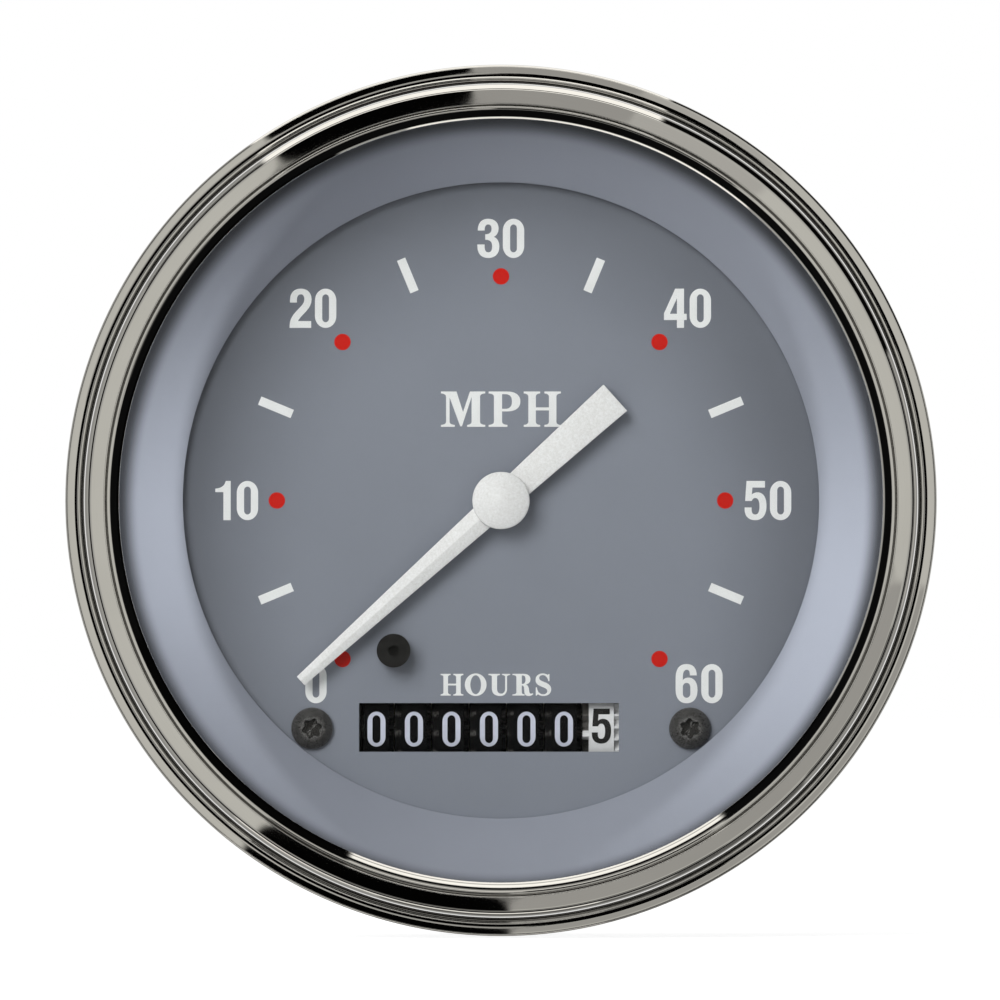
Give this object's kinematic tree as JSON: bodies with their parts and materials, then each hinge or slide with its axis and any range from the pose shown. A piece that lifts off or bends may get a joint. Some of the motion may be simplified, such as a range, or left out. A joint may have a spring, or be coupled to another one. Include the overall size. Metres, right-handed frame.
{
  "type": "vintage speedometer",
  "caption": "Round dashboard speedometer with stepped bright bezel, glass, funnel visor, painted dial, balanced pointer, rolling hour counter and rear mounting studs.",
  "frame": {"origin": "on the axis of the instrument, in the plane where the bezel meets the panel", "axes": "+Y backwards along the axis, away from the dial; +Z to the top of the dial; +X to the right of the dial as it is read"},
  "size_m": [0.094, 0.0737, 0.094],
  "materials": {
    "bright_metal": "polished nickel-chrome",
    "clear_glass": "clear",
    "seal_rubber": "matt",
    "visor_paint": "satin",
    "dial_paint": "satin",
    "pointer_paint": "matt",
    "black_steel": "black oxide",
    "zinc_steel": "zinc plated",
    "plain_steel": "zinc plated",
    "passivated_steel": "yellow passivated",
    "can_steel": "nickel plated",
    "bobbin_plastic": "natural nylon",
    "copper_wire": "enamelled copper",
    "bush_brass": "turned",
    "terminal_brass": "tinned",
    "board_laminate": "solder mask",
    "component_sleeve": "shrunk sleeve",
    "component_black": "moulded",
    "block_plastic": "moulded",
    "bulb_glass": "clear",
    "drum_black": "moulded",
    "drum_white": "moulded",
    "gear_plastic": "acetal",
    "ferrite": "pressed"
  },
  "bodies": {
    "instrument": {"bezel": "bright_metal", "front_seal": "seal_rubber", "lens": "clear_glass", "rear_seal": "seal_rubber", "visor_ring": "visor_paint", "dial": "dial_paint", "dial_screws": "black_steel", "dial_spacers": "plain_steel", "pointer_stop": "black_steel", "case": "zinc_steel", "movement_plate": "passivated_steel", "frame_pillars": "plain_steel", "pillar_screws": "plain_steel", "rear_spacers": "plain_steel", "mounting_studs": "plain_steel", "stud_washers": "plain_steel", "movement_can": "can_steel", "bobbin_front": "bobbin_plastic", "bobbin_rear": "bobbin_plastic", "inner_coil": "copper_wire", "outer_coil": "copper_wire", "front_bush": "bush_brass", "rear_bush": "bush_brass", "movement_screws": "plain_steel", "movement_pins": "terminal_brass", "circuit_board": "board_laminate", "capacitors": "component_sleeve", "driver_chip": "component_black", "voltage_regulator": "component_black", "terminal_block": "block_plastic", "blade_terminals": "terminal_brass", "bulb_holders": "block_plastic", "bulbs": "bulb_glass", "counter_frame": "passivated_steel", "frame_screws": "plain_steel", "drum_shaft": "plain_steel", "pinion_shaft": "plain_steel", "counter_motor": "can_steel", "motor_screws": "plain_steel"},
    "pointer_unit": {"pointer": "pointer_paint", "pointer_cap": "pointer_paint", "pointer_spindle": "plain_steel", "rotor_magnet": "ferrite"},
    "drum_hundred_thousands": {"drum_hundred_thousands": "drum_black"},
    "drum_ten_thousands": {"drum_ten_thousands": "drum_black"},
    "drum_thousands": {"drum_thousands": "drum_black"},
    "drum_hundreds": {"drum_hundreds": "drum_black"},
    "drum_tens": {"drum_tens": "drum_black"},
    "drum_units": {"drum_units": "drum_black"},
    "drum_tenths": {"drum_tenths": "drum_white"},
    "pinion_1": {"pinion_1": "gear_plastic"},
    "pinion_2": {"pinion_2": "gear_plastic"},
    "pinion_3": {"pinion_3": "gear_plastic"},
    "pinion_4": {"pinion_4": "gear_plastic"},
    "pinion_5": {"pinion_5": "gear_plastic"},
    "pinion_6": {"pinion_6": "gear_plastic"},
    "idler": {"idler_pinion": "gear_plastic", "idler_gear": "gear_plastic"},
    "motor_shaft": {"motor_pinion": "bush_brass"}
  },
  "joints": [
    {"name": "pointer_sweep", "type": "hinge", "parent": "instrument", "child": "pointer_unit", "pos_m": [0, 0, 0], "axis": [0, 1, 0], "range_deg": [-3, 267]},
    {"name": "hour_count", "type": "hinge", "parent": "instrument", "child": "drum_tenths", "pos_m": [0, 0.01525, -0.0245], "axis": [1, 0, 0], "continuous": true},
    {"name": "drum_hundred_thousands_roll", "type": "hinge", "parent": "instrument", "child": "drum_hundred_thousands", "pos_m": [0, 0.01525, -0.0245], "axis": [1, 0, 0], "continuous": true},
    {"name": "drum_ten_thousands_roll", "type": "hinge", "parent": "instrument", "child": "drum_ten_thousands", "pos_m": [0, 0.01525, -0.0245], "axis": [1, 0, 0], "continuous": true},
    {"name": "drum_thousands_roll", "type": "hinge", "parent": "instrument", "child": "drum_thousands", "pos_m": [0, 0.01525, -0.0245], "axis": [1, 0, 0], "continuous": true},
    {"name": "drum_hundreds_roll", "type": "hinge", "parent": "instrument", "child": "drum_hundreds", "pos_m": [0, 0.01525, -0.0245], "axis": [1, 0, 0], "continuous": true},
    {"name": "drum_tens_roll", "type": "hinge", "parent": "instrument", "child": "drum_tens", "pos_m": [0, 0.01525, -0.0245], "axis": [1, 0, 0], "continuous": true},
    {"name": "drum_units_roll", "type": "hinge", "parent": "instrument", "child": "drum_units", "pos_m": [0, 0.01525, -0.0245], "axis": [1, 0, 0], "continuous": true},
    {"name": "pinion_1_spin", "type": "hinge", "parent": "instrument", "child": "pinion_1", "pos_m": [0, 0.02455, -0.0245], "axis": [1, 0, 0], "continuous": true},
    {"name": "pinion_2_spin", "type": "hinge", "parent": "instrument", "child": "pinion_2", "pos_m": [0, 0.02455, -0.0245], "axis": [1, 0, 0], "continuous": true},
    {"name": "pinion_3_spin", "type": "hinge", "parent": "instrument", "child": "pinion_3", "pos_m": [0, 0.02455, -0.0245], "axis": [1, 0, 0], "continuous": true},
    {"name": "pinion_4_spin", "type": "hinge", "parent": "instrument", "child": "pinion_4", "pos_m": [0, 0.02455, -0.0245], "axis": [1, 0, 0], "continuous": true},
    {"name": "pinion_5_spin", "type": "hinge", "parent": "instrument", "child": "pinion_5", "pos_m": [0, 0.02455, -0.0245], "axis": [1, 0, 0], "continuous": true},
    {"name": "pinion_6_spin", "type": "hinge", "parent": "instrument", "child": "pinion_6", "pos_m": [0, 0.02455, -0.0245], "axis": [1, 0, 0], "continuous": true},
    {"name": "idler_spin", "type": "hinge", "parent": "instrument", "child": "idler", "pos_m": [0, 0.0212, -0.01741], "axis": [1, 0, 0], "continuous": true},
    {"name": "motor_spin", "type": "hinge", "parent": "instrument", "child": "motor_shaft", "pos_m": [0, 0.02882, -0.02003], "axis": [1, 0, 0], "continuous": true}
  ],
  "couplings": [
    {"joint": "drum_hundred_thousands_roll", "follows": "hour_count", "ratio": 0.000001},
    {"joint": "drum_ten_thousands_roll", "follows": "hour_count", "ratio": 0.00001},
    {"joint": "drum_thousands_roll", "follows": "hour_count", "ratio": 0.0001},
    {"joint": "drum_hundreds_roll", "follows": "hour_count", "ratio": 0.001},
    {"joint": "drum_tens_roll", "follows": "hour_count", "ratio": 0.01},
    {"joint": "drum_units_roll", "follows": "hour_count", "ratio": 0.1},
    {"joint": "pinion_1_spin", "follows": "hour_count", "ratio": -0.0000025},
    {"joint": "pinion_2_spin", "follows": "hour_count", "ratio": -0.000025},
    {"joint": "pinion_3_spin", "follows": "hour_count", "ratio": -0.00025},
    {"joint": "pinion_4_spin", "follows": "hour_count", "ratio": -0.0025},
    {"joint": "pinion_5_spin", "follows": "hour_count", "ratio": -0.025},
    {"joint": "pinion_6_spin", "follows": "hour_count", "ratio": -0.25},
    {"joint": "idler_spin", "follows": "hour_count", "ratio": -3.6},
    {"joint": "motor_spin", "follows": "hour_count", "ratio": 10.8}
  ]
}
